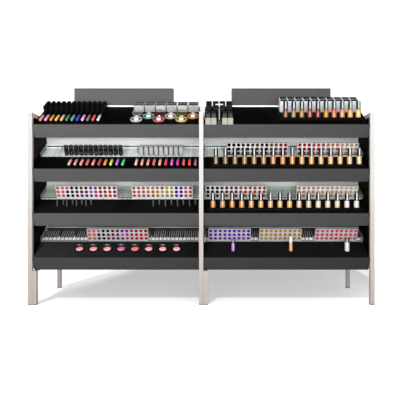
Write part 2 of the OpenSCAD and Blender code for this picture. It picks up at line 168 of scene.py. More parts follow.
class Look:
    """A node material under construction. Its patterns lie in the CAD's frame, which each mesh keeps."""

    def __init__(self, name, **settings):
        self.material = bpy.data.materials.new(name)
        self.material.use_nodes = True
        self.tree = self.material.node_tree
        self.shader = self.tree.nodes["Principled BSDF"]
        for socket, value in settings.items():
            self.shader.inputs[socket.replace("_", " ")].default_value = value
        self.place = self.tree.nodes.new("ShaderNodeTexCoord").outputs["Object"]

    def node(self, kind, inputs=(), **settings):
        made = self.tree.nodes.new("ShaderNode" + kind)
        for key, value in settings.items():
            setattr(made, key, value)
        for key, value in dict(inputs).items():
            if isinstance(value, bpy.types.NodeSocket):
                self.tree.links.new(value, made.inputs[key])
            else:
                made.inputs[key].default_value = value
        return made

    def join(self, socket, name):
        self.tree.links.new(socket, self.shader.inputs[name])

    def noise(self, scale, stretch=(1, 1, 1), detail=3):
        """A noise from 0 to 1, with features of about 1 / scale metres."""
        spot = self.node("Mapping", {"Vector": self.place, "Scale": stretch}).outputs[0]
        return self.node("TexNoise", {"Vector": spot, "Scale": scale, "Detail": detail}).outputs[0]

    def remap(self, value, start, end, low, high):
        inputs = {"Value": value, "From Min": start, "From Max": end, "To Min": low, "To Max": high}
        return self.node("MapRange", inputs).outputs[0]

    def along(self, direction, start=0.0):
        """Distance along a direction, beyond start."""
        dot = self.node("VectorMath", {0: self.place, 1: tuple(direction)}, operation="DOT_PRODUCT")
        return self.math("SUBTRACT", dot.outputs["Value"], start)

    def math(self, operation, a, b=0.0):
        return self.node("Math", {0: a, 1: b}, operation=operation).outputs[0]

    def above(self, value, limit):
        return self.math("GREATER_THAN", value, limit)

    def below(self, value, limit):
        return self.math("LESS_THAN", value, limit)

    def both(self, a, b):
        return self.math("MULTIPLY", a, b)

    def either(self, a, b):
        return self.math("MAXIMUM", a, b)

    def phase(self, value, pitch):
        """How far the value is through its step of the pitch, from 0 to 1."""
        return self.math("FRACT", self.math("DIVIDE", value, pitch))

    def grey(self, value):
        return self.node("CombineColor", {"Red": value, "Green": value, "Blue": value}).outputs[0]

    def mix(self, share, a, b, blend="MIX"):
        inputs = {"Factor": share, 6: a, 7: b}
        return self.node("Mix", inputs, data_type="RGBA", blend_type=blend).outputs[2]

    def times(self, a, b):
        return self.mix(1.0, a, b, "MULTIPLY")

    def ramp(self, value, *stops, steps=False):
        """Colour along a value, from (position, hex colour) stops, smooth or in steps."""
        made = self.node("ValToRGB", {"Fac": value})
        made.color_ramp.interpolation = "CONSTANT" if steps else "LINEAR"
        elements = made.color_ramp.elements
        while len(elements) < len(stops):
            elements.new(0.5)
        for element, (position, colour) in zip(elements, stops):
            element.position = position
            element.color = shade(colour)
        return made.outputs["Color"]

    def paint(self, colour, blotch, broad, grain):
        """Base colour with a broad and a fine variation."""
        wide = self.remap(self.noise(broad), 0.3, 0.7, 1 - blotch, 1 + blotch)
        fine = self.remap(self.noise(grain), 0.3, 0.7, 1 - blotch / 2, 1 + blotch / 2)
        self.join(self.times(colour, self.grey(self.both(wide, fine))), "Base Color")

    def gloss(self, low, high, scale=90):
        self.join(self.remap(self.noise(scale), 0.3, 0.7, low, high), "Roughness")

    def bump(self, scale, depth, stretch=(1, 1, 1)):
        inputs = {"Height": self.noise(scale, stretch, 2), "Distance": depth, "Strength": 0.5}
        self.join(self.node("Bump", inputs).outputs[0], "Normal")

    def coat(self, colour, blotch, broad, grain, rough, fine, depth=0.0002):
        """Paint, gloss and bump, and the material that they make."""
        self.paint(colour, blotch, broad, grain)
        self.gloss(*rough)
        self.bump(fine, depth)
        return self.material

    def tint(self):
        return self.node("Attribute", attribute_name="tint").outputs["Color"]

    def streaks(self, low, high):
        """Grey streaks up the slope, between two strengths."""
        return self.grey(self.remap(self.noise(80, (1, 0.02, 0.02), 2), 0.35, 0.65, low, high))


def frame_paint():
    """Cream powder coat, with painted light that makes it a little lighter towards the top."""
    look = Look("frame_paint", Specular_IOR_Level=0.3)
    height = look.remap(look.along((0, 0, 1)), 0.0, 1.12, 0, 1)
    # Painted light: the cream ramps lighter towards the top, standing in for the brighter light and
    # reflections up there.
    cream = look.ramp(height, (0.0, "#8f8782"), (0.38, "#99918c"), (0.62, "#a4a09c"), (1.0, "#aeaaa7"))
    return look.coat(cream, 0.025, 5, 400, (0.35, 0.5), 900)


def rail_paint():
    look = Look("rail_paint", Specular_IOR_Level=0.3)
    return look.coat(shade("#b9aaa4"), 0.04, 6, 400, (0.35, 0.5), 900)


def black_steel(name, colour, specular):
    look = Look(name, Specular_IOR_Level=specular)
    return look.coat(shade(colour), 0.2, 9, 500, (0.5, 0.68), 1400)


def deck_paint():
    """Black powder coat, which looks greyer low on the left, where the light gathers."""
    look = Look("deck_paint", Specular_IOR_Level=0.04)
    low = look.remap(look.along((0, 0, 1)), 0.62, 0.3, 0, 1)
    left = look.remap(look.along((1, 0, 0)), 0.9, -0.98, 0, 1)
    grey = look.ramp(left, (0.0, "#0d0d0d"), (0.5, "#101111"), (0.8, "#1a1b1c"), (1.0, "#2a2a2a"))
    return look.coat(look.mix(low, shade("#020202"), grey), 0.15, 8, 500, (0.55, 0.7), 1400)


def board_grey(name, stops, dark_above=None):
    """Matt grey laminate, painted lighter on the left as painted light. Painted light makes it lighter on the
    upper boards too, or else it is dark above a height.
    """
    look = Look(name, Specular_IOR_Level=0.15)
    across = look.remap(look.along((1, 0, 0)), -1.0, 1.0, 0, 1)
    # Painted light: with the fascia and header stops, this ramp across makes the boards lighter on the left.
    colour = look.ramp(across, *stops)
    height = look.along((0, 0, 1))
    if dark_above is None:
        # Painted light: the upper boards are lighter.
        share = look.ramp(look.remap(height, 0.19, 1.04, 0, 1), *PAINTED_LIGHT_HEIGHT_STOPS)
        colour = look.times(colour, share)
    else:
        colour = look.mix(look.above(height, dark_above), colour, shade("#262626"))
    return look.coat(colour, 0.03, 4, 500, (0.55, 0.7), 1100)


def spine_grey():
    """Light grey panels, lighter on the left as painted light, and dark behind the lowest trays as painted
    shade.
    """
    look = Look("panel_grey", Specular_IOR_Level=0.2)
    across = look.remap(look.along((1, 0, 0)), -1.0, 1.0, 0, 1)
    # Painted light: the ramp across makes the panels lighter on the left.
    colour = look.ramp(across, (0.0, "#f4f4f4"), (1.0, "#dcdcdc"))
    # Painted shade: the panels turn dark grey below this height, behind the lowest trays.
    low = look.remap(look.along((0, 0, 1)), 0.5, 0.46, 0, 1)
    return look.coat(look.mix(low, colour, shade("#5a5a5a")), 0.02, 4, 500, (0.4, 0.55), 1100)


def plain(name, colour, rough, blotch=0.06, scale=500, depth=0.0001, specular=0.5, **settings):
    """A moulded, painted or printed surface of one colour, or of the piece's tints."""
    look = Look(name, Specular_IOR_Level=specular, **settings)
    colour = look.tint() if colour is None else shade(colour)
    return look.coat(colour, blotch, 20, scale, rough, scale * 2, depth)


def zinc_plate():
    look = Look("zinc", Metallic=1.0)
    return look.coat(shade("#b5b8bb"), 0.1, 15, 400, (0.22, 0.36, 300), 700, 0.0001)


# The front trays: distances up the slope from the deck's edge, off the deck and across.

TRAY_FRONT, TRAY_REAR = 0.17, 0.3
TRAY_WALL = 0.0035
TRAY_SIDE_REAR = 0.286
TRAY_BACK_WALL = 0.291
TRAY_RIM = 0.0268
TRAY_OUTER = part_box("tray_right_2")[1].x - TRAY_WALL
TRAY_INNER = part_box("tray_right_2")[0].x + TRAY_WALL
RIB_SHARE = 0.22


def acrylic(number, bands, back, streak=(0.75, 1.12), dashes=None, line=None, ribs=None):
    """Acrylic of a deck's trays: clear in front, pale on the rim and ends as a painted highlight, and
    coloured inside, partly with painted light and shade.

    bands give the floor's colours up the slope, and back is the colour of the back wall. The dashes cut
    one band, the ribs run up the floor, and the line runs along the back wall.
    """
    look = Look(f"acrylic_{number}", Roughness=0.18, Specular_IOR_Level=0.3)
    edge = deck_edge(number)
    up_slope = look.along(UP_SLOPE, edge.dot(UP_SLOPE))
    off_deck = look.along(OFF_DECK, edge.dot(OFF_DECK))
    across = look.along((1, 0, 0))
    share = look.remap(up_slope, TRAY_FRONT, TRAY_REAR, 0, 1)
    stops = [((v - TRAY_FRONT) / (TRAY_REAR - TRAY_FRONT), colour) for v, colour in bands]
    colour = look.ramp(share, *stops, steps=True)
    if dashes:
        low, high, pitch, gap = dashes
        inside = look.both(look.above(up_slope, low), look.below(up_slope, high))
        dash = look.both(inside, look.below(look.phase(across, pitch), gap))
        colour = look.mix(dash, colour, shade("#4a4c4b"))
    if ribs:
        low, pitch, light = ribs
        rib = look.both(look.above(up_slope, low), look.below(look.phase(across, pitch), RIB_SHARE))
        colour = look.mix(rib, colour, shade(light))
    grey = look.streaks(*streak)
    rear = look.above(up_slope, TRAY_BACK_WALL)
    colour = look.mix(rear, look.times(colour, grey), look.times(shade(back), grey))
    if line:
        low, high = line
        band = look.both(look.above(off_deck, low), look.below(off_deck, high))
        colour = look.mix(look.both(rear, band), colour, shade("#050505"))
    front = look.below(up_slope, TRAY_FRONT + TRAY_WALL)
    from_middle = look.math("ABSOLUTE", across)
    far = look.above(from_middle, TRAY_OUTER)
    end = look.either(far, look.below(from_middle, TRAY_INNER))
    # Painted highlight: the rim, the front and the ends are pale, like lit acrylic edges.
    pale = look.either(look.either(look.above(off_deck, TRAY_RIM), front), end)
    colour = look.mix(pale, colour, shade("#e8eeeb"))
    side = look.both(far, look.below(up_slope, TRAY_SIDE_REAR))
    look.join(look.mix(side, colour, shade("#6d716f")), "Base Color")
    window = look.both(front, look.math("SUBTRACT", 1.0, end))
    look.join(look.remap(window, 0.0, 1.0, 0.96, 0.012), "Alpha")
    look.bump(60, 0.0003, (1, 0.1, 0.1))
    return look.material


def rear_acrylic():
    look = Look("acrylic_rear", Roughness=0.18, Specular_IOR_Level=0.3, Alpha=0.55)
    look.join(look.times(shade("#c9d0cc"), look.streaks(0.8, 1.1)), "Base Color")
    look.bump(60, 0.0003, (1, 0.1, 0.1))
    return look.material


# Painted light: the boards are lighter higher up, and the fascia and header stops make them lighter on the
# left.
PAINTED_LIGHT_HEIGHT_STOPS = ((0.0, "#b4b4b4"), (0.08, "#bababa"), (0.3, "#f2f2f2"), (0.67, "#e3e3e3"),
                      (1.0, "#f4f4f4"))
FASCIA_PAINTED_LIGHT_STOPS = ((0.0, "#515151"), (0.5, "#464646"), (0.8, "#414141"), (1.0, "#3c3c3c"))
HEADER_PAINTED_LIGHT_STOPS = ((0.0, "#525252"), (0.45, "#4e4e4e"), (0.55, "#464646"), (1.0, "#444444"))

CREAM = frame_paint()
RAIL = rail_paint()
DECK = deck_paint()
PANEL_BLACK = black_steel("panel_black", "#030303", 0.04)
STEEL_BLACK = black_steel("steel_black", "#0b0b0b", 0.2)
FASCIA = board_grey("fascia_grey", FASCIA_PAINTED_LIGHT_STOPS)
HEADER = board_grey("header_grey", HEADER_PAINTED_LIGHT_STOPS, cad_box[1].z - 0.005)
SPINE = spine_grey()
WHITE_TRIM = plain("trim_white", "#f6f6f4", (0.3, 0.45), 0.02)
ZINC = zinc_plate()
GLIDE = plain("glide_plastic", "#4a4a4a", (0.5, 0.65))
POST_CAP = plain("cap_plastic", "#f4f1ec", (0.35, 0.5), 0.02)
# Each deck's tray colours. The floors run from bright on the second deck to dark on the fourth, partly the
# trays' own contents and partly painted light and shade.
ACRYLIC = {
    2: acrylic(2, ((0.17, "#f6fffa"),), "#eef8f3", (0.8, 1.05), line=(0.012, 0.02)),
    3: acrylic(3, ((0.17, "#e9eeeb"), (0.18, "#3c3f3d"), (0.19, "#b4bbb7")), "#a9b0ac"),
    4: acrylic(4, ((0.17, "#8a8e8c"), (0.189, "#f2f5f3"), (0.215, "#2e2f2f")), "#2e2f2f", (0.85, 1.1),
               dashes=(0.189, 0.215, 0.024, 0.2), ribs=(0.215, 0.0135, "#b4b8b5")),
}
ACRYLIC_REAR = rear_acrylic()

SATIN_BLACK = plain("satin_black", "#0b0b0b", (0.3, 0.42), 0.15)
CHROME_BLACK = plain("chrome_black", "#808080", (0.06, 0.1), 0.04, Metallic=1.0,
                     Specular_Tint=(0.0, 0.0, 0.0, 1.0))
TUBE_BLACK = plain("tube_black", "#050505", (0.5, 0.6), 0.15, specular=0.12)
BRIGHT = plain("bright_tints", None, (0.3, 0.4), 0.04, specular=0.3)
GLASS = plain("glass_tints", None, (0.14, 0.22), 0.05, Coat_Weight=1.0, Coat_IOR=1.7, Coat_Roughness=0.06)
WHITE_CARD = plain("card_white", "#d0d4dc", (0.5, 0.65), 0.03, 300, specular=0.2)
STICK = plain("stick_tints", None, (0.5, 0.6), 0.05, specular=0.04)
SMOKED = plain("smoked_tints", None, (0.2, 0.3), 0.06, specular=0.3)
GLOSS = plain("gloss_tints", None, (0.16, 0.26), 0.04, Coat_Weight=1.0, Coat_IOR=2.2, Coat_Roughness=0.12)
SATIN = plain("satin_tints", None, (0.35, 0.5), 0.05)
CHROME = plain("chrome", "#e4e4e6", (0.14, 0.22), 0.03, Metallic=1.0)
POWDER = plain("powder_tints", None, (0.75, 0.9), 0.08, 900, 0.0002, Sheen_Weight=0.4)
CLEAR_RIM = plain("clear_rim_tints", None, (0.2, 0.3), 0.04, 60, specular=0.3, Alpha=0.7)
CLEAR_PANE = plain("clear_pane_tints", None, (0.3, 0.4), 0.04, 60, 0.00002, specular=0.1, Alpha=0.1)
FROSTED = plain("frosted_tints", None, (0.25, 0.4), 0.05, 120)

# ---- shapes ----


def circle(radius, steps=24):
    turn = 2 * math.pi / steps
    return [(radius * math.cos(i * turn), radius * math.sin(i * turn)) for i in range(steps)]


def rounded(width, depth, corner, steps=3):
    """Outline of a rectangle with round corners, centred on the origin."""
    points = []
    for sx, sy, start in ((1, 1, 0), (-1, 1, 90), (-1, -1, 180), (1, -1, 270)):
        for i in range(steps + 1):
            angle = math.radians(start + 90 * i / steps)
            x = sx * (width / 2 - corner) + corner * math.cos(angle)
            y = sy * (depth / 2 - corner) + corner * math.sin(angle)
            points.append((x, y))
    return points


def arch(width, height, steps=14):
    """Outline with a flat foot and a round top, standing on the origin."""
    radius = width / 2
    top = [math.pi * i / steps for i in range(steps + 1)]
    over = [(radius * math.cos(a), height - radius + radius * math.sin(a)) for a in top]
    return over + [(-radius * 0.96, 0.0), (radius * 0.96, 0.0)]


def loft(rings):
    """Points and faces of a solid through rings of points, closed at both ends."""
    count = len(rings[0])
    points = [point for ring in rings for point in ring]
    faces = [tuple(reversed(range(count)))]
    for i in range(len(rings) - 1):
        for j in range(count):
            a, b = i * count + j, i * count + (j + 1) % count
            faces.append((a, b, b + count, a + count))
    faces.append(tuple(range(len(points) - count, len(points))))
    return points, faces


def level(outline, height):
    return [(x, y, height) for x, y in outline]


def lathe(*profile, steps=24):
    """A turned solid through (radius, height) pairs."""
    return loft([level(circle(radius, steps), height) for radius, height in profile])


def turned(radius, *profile, steps=24):
    """A turned solid through (inset from the radius, height) pairs."""
    return lathe(*((radius - inset, height) for inset, height in profile), steps=steps)


def spun(radius, *profile, steps=24):
    """A turned solid through (share of the radius, height) pairs."""
    return lathe(*((radius * share, height) for share, height in profile), steps=steps)


def ring(*profile, steps=24):
    """A turned ring through a closed loop of (radius, height) pairs."""
    rows = [level(circle(radius, steps), height) for radius, height in profile]
    points = [point for row in rows for point in row]
    faces = []
    for i in range(len(rows)):
        for j in range(steps):
            below, above = i * steps, (i + 1) % len(rows) * steps
            faces.append((below + j, below + (j + 1) % steps, above + (j + 1) % steps, above + j))
    return points, faces


def block(width, depth, height, corner, edge):
    """A box with round upright corners and soft upper and lower edges, standing on the origin."""
    rings = []
    for inset, z in ((edge, 0), (edge * 0.3, edge * 0.3), (0, edge),
                     (0, height - edge), (edge * 0.3, height - edge * 0.3), (edge, height)):
        outline = rounded(width - 2 * inset, depth - 2 * inset, max(corner - inset, 0.0003))
        rings.append(level(outline, z))
    return loft(rings)


def wedge(width, depth, height, corner):
    """A block with a level top, whose base follows the deck's slope from its near edge."""
    outline = rounded(width, depth, corner)
    base = [(x, y, (y + depth / 2) * math.tan(TILT)) for x, y in outline]
    soft = rounded(width - 0.0016, depth - 0.0016, corner)
    return loft([base, level(outline, height - 0.0008), level(soft, height)])


# Lays a standing shape down, with its top towards the customer.
LYING = Matrix.Rotation(math.radians(90), 4, "X")


def shift(x, y, z):
    return Matrix.Translation((x, y, z))


def stand(low, high):
    """The place of a shape that stands on the middle of a box's floor."""
    return shift((low.x + high.x) / 2, (low.y + high.y) / 2, low.z)


def dimmed(tint, share):
    """A share of the tint, as the front light is strong."""
    return tuple(share * part for part in shade(tint)[:3]) + (1.0,)


class Piece:
    """Gathers shapes, each with a material and a tint, into one object on one body."""

    def __init__(self, name):
        self.name = name
        self.points, self.faces, self.looks, self.tints = [], [], [], []
        self.materials = []

    def add(self, shape, place, material, tint="#ffffff", share=0.5):
        points, faces = shape
        start = len(self.points)
        if material not in self.materials:
            self.materials.append(material)
        self.points += [place @ Vector(point) for point in points]
        self.faces += [[start + index for index in face] for face in faces]
        self.looks += [self.materials.index(material)] * len(faces)
        self.tints += [dimmed(tint, share)] * len(faces)

    def make(self, body, slot, *nodes):
        """Makes the object. It rides on body and stands for the nodes; slot is not used."""
        mesh = bpy.data.meshes.new(self.name)
        mesh.from_pydata(self.points, [], self.faces)
        for material in self.materials:
            mesh.materials.append(material)
        mesh.polygons.foreach_set("material_index", self.looks)
        layer = mesh.color_attributes.new("tint", "FLOAT_COLOR", "CORNER")
        for face, tint in zip(mesh.polygons, self.tints):
            for corner in face.loop_indices:
                layer.data[corner].color = tint
        mesh.shade_smooth()
        mesh.set_sharp_from_angle(angle=math.radians(35))
        made = bpy.data.objects.new(self.name, mesh)
        link(made)
        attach(made, body)
        if nodes:
            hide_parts(*nodes)


# ---- reading places from the CAD ----


def deck(number):
    """The frame of a front deck: X across, Y up the slope from its front edge, Z off its surface."""
    return Matrix.Translation(deck_edge(number)) @ Matrix.Rotation(TILT, 4, "X")


def solids(node, place=Matrix()):
    """The box of each separate solid of a CAD node, as (low, high) in the frame place, from left to right."""
    mesh = bmesh.new()
    mesh.from_mesh(frame["nodes"][node].data)
    bmesh.ops.remove_doubles(mesh, verts=mesh.verts, dist=1e-6)
    mesh.transform(place.inverted())
    boxes, seen = [], set()
    for first in mesh.verts:
        if first in seen:
            continue
        island, waiting = [], [first]
        seen.add(first)
        while waiting:
            vert = waiting.pop()
            island.append(vert.co)
            for edge in vert.link_edges:
                other = edge.other_vert(vert)
                if other not in seen:
                    seen.add(other)
                    waiting.append(other)
        axes = list(zip(*island))
        boxes.append((Vector(map(min, axes)), Vector(map(max, axes))))
    mesh.free()
    return sorted(boxes, key=lambda box: (round(box[0].x, 4), box[0].y))


def stands(node, place=Matrix()):
    """The middle of the floor, and the size, of each separate solid's box, from left to right."""
    return [(place @ stand(low, high), high - low) for low, high in solids(node, place)]


def blend(stops, count):
    """As many hex colours as count, spread evenly over the stops."""
    colours = []
    for i in range(count):
        spot = i / max(count - 1, 1) * (len(stops) - 1)
        j = min(int(spot), len(stops) - 2)
        pair = [[int(stops[k][c : c + 2], 16) for c in (1, 3, 5)] for k in (j, j + 1)]
        mixed = [round(a + (b - a) * (spot - j)) for a, b in zip(*pair)]
        colours.append("#%02x%02x%02x" % tuple(mixed))
    return colours


# ---- goods ----

# Sides of the largest circles.
ROUND = 56

# The bottles' caps, and how strong the glass tints are on each deck.
CAP_HEIGHT = 0.046
CAP_RADII = {1: 0.0138, 2: 0.0125, 3: 0.0125}
GLASS_SHARES = {1: 0.56, 2: 0.44, 3: 0.5}


def make_bottles(number, stops):
    """Upright glass bottles with tall ten-sided caps, which shade from one end of the row to the other."""
    node = f"bottles_{number}"
    boxes = stands(node)
    wide, share = CAP_RADII[number], GLASS_SHARES[number]
    glass, caps = Piece(f"{node}_glass"), Piece(f"{node}_caps")
    for (place, size), tint in zip(boxes, blend(stops, len(boxes))):
        radius, total = size.x / 2, size.z
        neck = total - CAP_HEIGHT
        foot = turned(radius, (0.004, 0), (0.0012, 0.0008), (0.0004, 0.003), (0.0006, 0.005))
        body = turned(radius, (0.002, 0.0042), (0.0002, 0.0056), (0, 0.007), (0, neck - 0.0035),
                      (radius * 0.015, neck - 0.0022), (radius * 0.07, neck - 0.0015),
                      (radius * 0.25, neck - 0.0012))
        collar = turned(wide, (0.0017, neck - 0.002), (0.0007, neck - 0.0014), (0.0007, neck + 0.0004),
                        (0.0015, neck + 0.0008))
        cap = turned(wide, (0.0012, neck + 0.0006), (0, neck + 0.0014), (0, total - 0.001), (0.001, total),
                     steps=10)
        glass.add(foot, place, GLASS, tint, share)
        glass.add(body, place, GLASS, tint, share)
        glass.add(collar, place, SATIN_BLACK)
        caps.add(cap, place, CHROME_BLACK)
    glass.make(node, "bottle_colours", node)
    caps.make(node, "bottle_colours")


def make_testers(number, colours, share, short=0.0):
    """Slim black tubes lying up the slope, whose share nearest the customer is coloured."""
    node = f"testers_{number}"
    piece = Piece(node)
    for (low, high), tint in zip(solids(node, deck(number)), colours):
        radius = (high.x - low.x) / 2
        total = high.y - low.y - short
        join = total * (1 - share)
        place = deck(number) @ shift((low.x + high.x) / 2, high.y, (low.z + high.z) / 2) @ LYING
        cap = spun(radius, (0.6, 0), (0.8, 0.0015), (0.84, 0.004), (0.84, join - 0.006),
                   (0.7, join - 0.004), (0.7, join), steps=20)
        band = spun(radius, (0.86, join - 0.001), (0.92, join), (0.92, join + 0.002),
                    (0.86, join + 0.003), steps=20)
        tube = spun(radius, (0.9, join + 0.0025), (1, join + 0.004), (1, total - 0.005),
                    (0.93, total - 0.002), (0.7, total), steps=20)
        piece.add(cap, place, SATIN_BLACK)
        piece.add(band, place, CHROME)
        piece.add(tube, place, BRIGHT, tint, 0.85)
    piece.make(node, "tester_colours", node)


def make_stock_tubes():
    """Black round-topped tubes at the back of the top deck, with a seam between tube and cap."""
    piece = Piece("tubes_1")
    for low, high in solids("tubes_1", deck(1)):
        width, height, length = high.x - low.x, high.z - low.z, high.y - low.y
        place = deck(1) @ shift((low.x + high.x) / 2, high.y, low.z) @ LYING
        seam = length * 0.62
        far = ((0.002, 0), (0.0004, 0.0012), (0, 0.003), (0, seam - 0.0008), (0.0012, seam),
               (0.0012, seam + 0.0012))
        near = ((0.0012, seam + 0.0008), (0, seam + 0.002), (0, length - 0.003), (0.0006, length - 0.0012),
                (0.0022, length))
        for profile in (far, near):
            rings = []
            for inset, z in profile:
                outline = arch(width - 2 * inset, height - 2 * inset)
                rings.append([(x, y + inset, z) for x, y in outline])
            piece.add(loft(rings), place, TUBE_BLACK)
    piece.make("tubes_1", "tube_black", "tubes_1")


def make_boxes():
    """Pearly boxes with two dark panels on top and a raised plate on the front."""
    piece = Piece("boxes_1")
    for place, (width, depth, height) in stands("boxes_1", deck(1)):
        base = place @ shift(0, 0.0005, 0)
        piece.add(block(width, depth - 0.001, height - 0.0008, 0.004, 0.0016), base, GLOSS, "#e9e6e6")
        panel = block(width - 0.006, depth / 2 - 0.006, 0.0024, 0.002, 0.0006)
        for row, tint in ((-1, "#4c4c4e"), (1, "#3c3c3e")):
            piece.add(panel, base @ shift(0, row * (depth / 4 - 0.0005), height - 0.0025), GLOSS, tint)
        plate = block(width - 0.014, 0.004, height - 0.014, 0.0012, 0.0008)
        piece.add(plate, base @ shift(0, 0.002 - depth / 2, 0.006), GLOSS, "#f6f4f4")
    piece.make("boxes_1", "box_silver", "boxes_1")


RING_TINTS = ("#e8e8e6", "#7cbcb3", "#ec7674", "#dcd2c4", "#eed876", "#f2a040")


def make_top_compacts():
    """Round compacts: a coloured ring, a dark groove and a pale pan, whose pale colour is partly a painted
    highlight.
    """
    piece = Piece("compacts_1")
    for (place, size), tint in zip(stands("compacts_1", deck(1)), RING_TINTS):
        radius, height = size.x / 2, size.z
        case = turned(radius, (0.003, 0), (0.0008, 0.0008), (0, 0.003), (0, height - 0.003),
                      (0.0012, height - 0.0008), (0.003, height), (0.006, height), (0.007, height - 0.0015),
                      (0.0075, height - 0.006), steps=ROUND)
        groove = turned(radius, (0.0077, height - 0.0066), (0.0077, height - 0.0058), steps=ROUND)
        pan = lathe((0.0142, height - 0.007), (0.0142, height - 0.003), (0.0132, height - 0.0018),
                    (0.009, height - 0.0012), (0.004, height - 0.001), steps=40)
        piece.add(case, place, GLOSS, tint)
        piece.add(groove, place, SATIN_BLACK)
        # The pan's pale pearl colour, left undimmed, is partly a painted highlight.
        piece.add(pan, place, POWDER, "#f7f3ee", 1.0)
    piece.make("compacts_1", "compact_rings", "compacts_1")


LID_THICKNESS = 0.004


def make_lids(number, node, slot, opened, radius, rim_wide, tints, linings, looks, backed=False):
    """Open compact lids, each a shallow shell with a rim, a lining, a hinge barrel and perhaps a back."""
    piece = Piece(node)
    shell, lining_look = looks
    joint = next(joint for joint in frame["joints"] if joint["name"] == f"{node}_hinge")
    hinge = deck(number).inverted() @ Vector(joint["pos_m"])
    half = LID_THICKNESS / 2
    inner = radius - rim_wide
    for (low, high), tint, lining in zip(solids(node, deck(number)), tints, linings):
        place = deck(number) @ shift((low.x + high.x) / 2, hinge.y, hinge.z)
        place = place @ Matrix.Rotation(math.radians(180 - opened), 4, "X")
        disc = place @ shift(0, radius + 0.003, 0)
        rim = ring((radius - 0.0012, -half), (radius - 0.0003, -half + 0.0006), (radius, 0),
                   (radius - 0.0004, half - 0.0004), (radius - 0.001, half),
                   (inner + 0.0006, half), (inner, half - 0.0008), (inner, -half + 0.0006),
                   (inner + 0.0006, -half), steps=ROUND)
        pane = lathe((inner + 0.0004, -0.0009), (inner + 0.0004, 0.0007), (inner * 0.9, 0.001),
                     (inner * 0.5, 0.0012), steps=ROUND)
        piece.add(rim, disc, shell, tint)
        piece.add(pane, disc, lining_look, lining)
        if backed:
            back = lathe((inner - 0.001, -half + 0.0001), (inner + 0.0004, -half + 0.0003),
                         (inner + 0.0004, -0.0007), steps=ROUND)
            piece.add(back, disc, shell, tint)
        barrel = turned(half, (0.0004, -0.008), (0, -0.0074), (0, -0.0032), (0.0003, -0.003),
                        (0.0003, 0.003), (0, 0.0032), (0, 0.0074), (0.0004, 0.008), steps=16)
        piece.add(barrel, place @ Matrix.Rotation(math.radians(90), 4, "Y"), CHROME)
        foot = block(0.015, 0.0055, 0.003, 0.0006, 0.0004)
        piece.add(foot, place @ shift(0, 0.0032, -0.0016), shell, tint)
    piece.make(node, slot, node)


def make_top_lids():
    """Translucent lids with coloured rims, which lean back from the top deck's compacts."""
    near = ("#dcdcda", "#9c3f48", "#b5b23e")
    far = ("#cfd6d6", "#d8d4d0", "#d6c8bc")
    for line, opened, radius, tints in (("near", 165, 0.03, near), ("far", 155, 0.027, far)):
        make_lids(1, f"lids_1_{line}", "compact_rings", opened, radius, 0.0024, tints, tints,
                  (CLEAR_RIM, CLEAR_PANE))


POWDER_TINTS = ("#f3a9a4", "#f2a6a3", "#f3a8a8", "#cf5fae", "#ef6f63", "#f3a5a8", "#f4b0a6", "#f2adac")


def make_low_lids():
    """Black lids with pink linings, half open over the lowest deck's compacts."""
    count = len(POWDER_TINTS)
    make_lids(4, "lids_4", "lid_black", 40, 0.027, 0.006, ["#141416"] * count, ["#e27f97"] * count,
              (GLOSS, SATIN), backed=True)


def make_low_compacts():
    """Black round compacts with a domed cake of powder."""
    piece = Piece("compacts_4")
    for (place, size), tint in zip(stands("compacts_4", deck(4)), POWDER_TINTS):
        radius, height = size.x / 2, size.z
        case = turned(radius, (0.003, 0), (0.0008, 0.0008), (0, 0.003), (0, height - 0.0024),
                      (0.0008, height - 0.0008), (0.002, height - 0.0006), (0.006, height - 0.0006),
                      (0.0064, height - 0.0026), steps=ROUND)
        cake = lathe((radius - 0.0066, height - 0.0034), (radius - 0.0068, height - 0.0012),
                     (radius - 0.008, height - 0.0004), (radius - 0.012, height - 0.0001),
                     (0.006, height), steps=ROUND)
        piece.add(case, place, GLOSS, "#141416")
        piece.add(cake, place, POWDER, tint, 0.88)
    piece.make("compacts_4", "powder_pink", "compacts_4")


def make_refills():
    """Black boxes with a lid seam, behind the flacons."""
    piece = Piece("refills_1")
    for place, (width, depth, height) in stands("refills_1", deck(1)):
        seam = height * 0.66
        box = block(width, depth, seam - 0.0005, 0.003, 0.001)
        liner = block(width - 0.002, depth - 0.002, 0.004, 0.003, 0.001)
        lid = block(width, depth, height - seam - 0.0005, 0.003, 0.0014)
        piece.add(box, place, SATIN_BLACK)
        piece.add(liner, place @ shift(0, 0, seam - 0.002), SATIN_BLACK)
        piece.add(lid, place @ shift(0, 0, seam + 0.0005), SATIN_BLACK)
    piece.make("refills_1", "refill_black", "refills_1")


def make_flacons():
    """Square flacons filled with a pale cream, under tall dark caps with a paler strip down each side."""
    piece = Piece("flacons_1")
    depth, shoulder, cap_foot = 0.03, 0.0382, 0.04
    for low, high in solids("flacons_1"):
        width = high.x - low.x
        cap_height = high.z - low.z - cap_foot
        place = shift((low.x + high.x) / 2, low.y + depth / 2, low.z)
        piece.add(wedge(width, depth, shoulder + 0.0003, 0.003), place, SMOKED, "#b5b4a2")
        neck = block(width - 0.006, depth - 0.008, 0.002, 0.003, 0.0008)
        piece.add(neck, place @ shift(0, 0, shoulder), SMOKED, "#c9c8ba")
        cap = block(0.028, 0.024, cap_height, 0.003, 0.0012)
        piece.add(cap, place @ shift(0, 0, cap_foot), SMOKED, "#121211")
        strip = block(0.0012, 0.018, cap_height - 0.003, 0.0004, 0.0003)
        for side in (-1, 1):
            piece.add(strip, place @ shift(side * 0.0134, 0, cap_foot + 0.0015), SMOKED, "#5d5c54")
    piece.make("flacons_1", "flacon_glass", "flacons_1")


